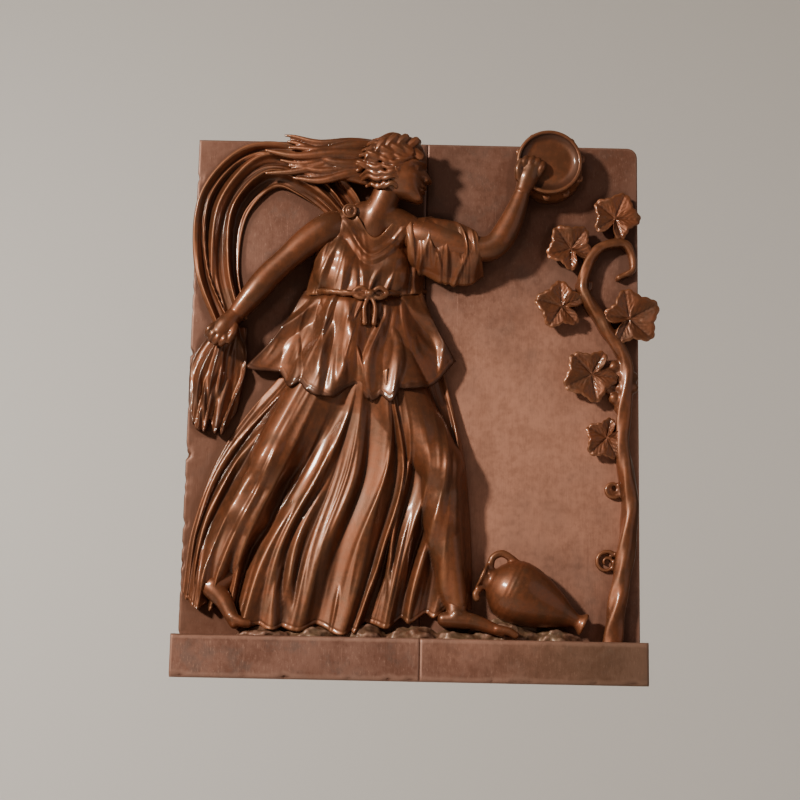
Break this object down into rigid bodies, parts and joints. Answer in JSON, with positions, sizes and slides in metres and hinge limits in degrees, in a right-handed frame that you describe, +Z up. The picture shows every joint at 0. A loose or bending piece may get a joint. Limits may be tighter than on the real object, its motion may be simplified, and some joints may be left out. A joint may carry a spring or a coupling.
{
  "type": "relief plaque",
  "caption": "Upright wall plaque with a ledge along its foot and a draped dancer in high relief, a hand drum, a vine and a fallen wine jar.",
  "frame": {"origin": "middle of the flat back of the slab, which is the face that lies against a wall", "axes": "+Z up along the slab's height, +Y out of the back towards the wall, the relief faces -Y"},
  "size_m": [0.3128, 0.049, 0.3675],
  "materials": {
    "casting": "cast resin patinated dark red-brown, waxed on the relief and matt on the field"
  },
  "bodies": {
    "root": {"relief_plaque": "casting"}
  },
  "joints": []
}
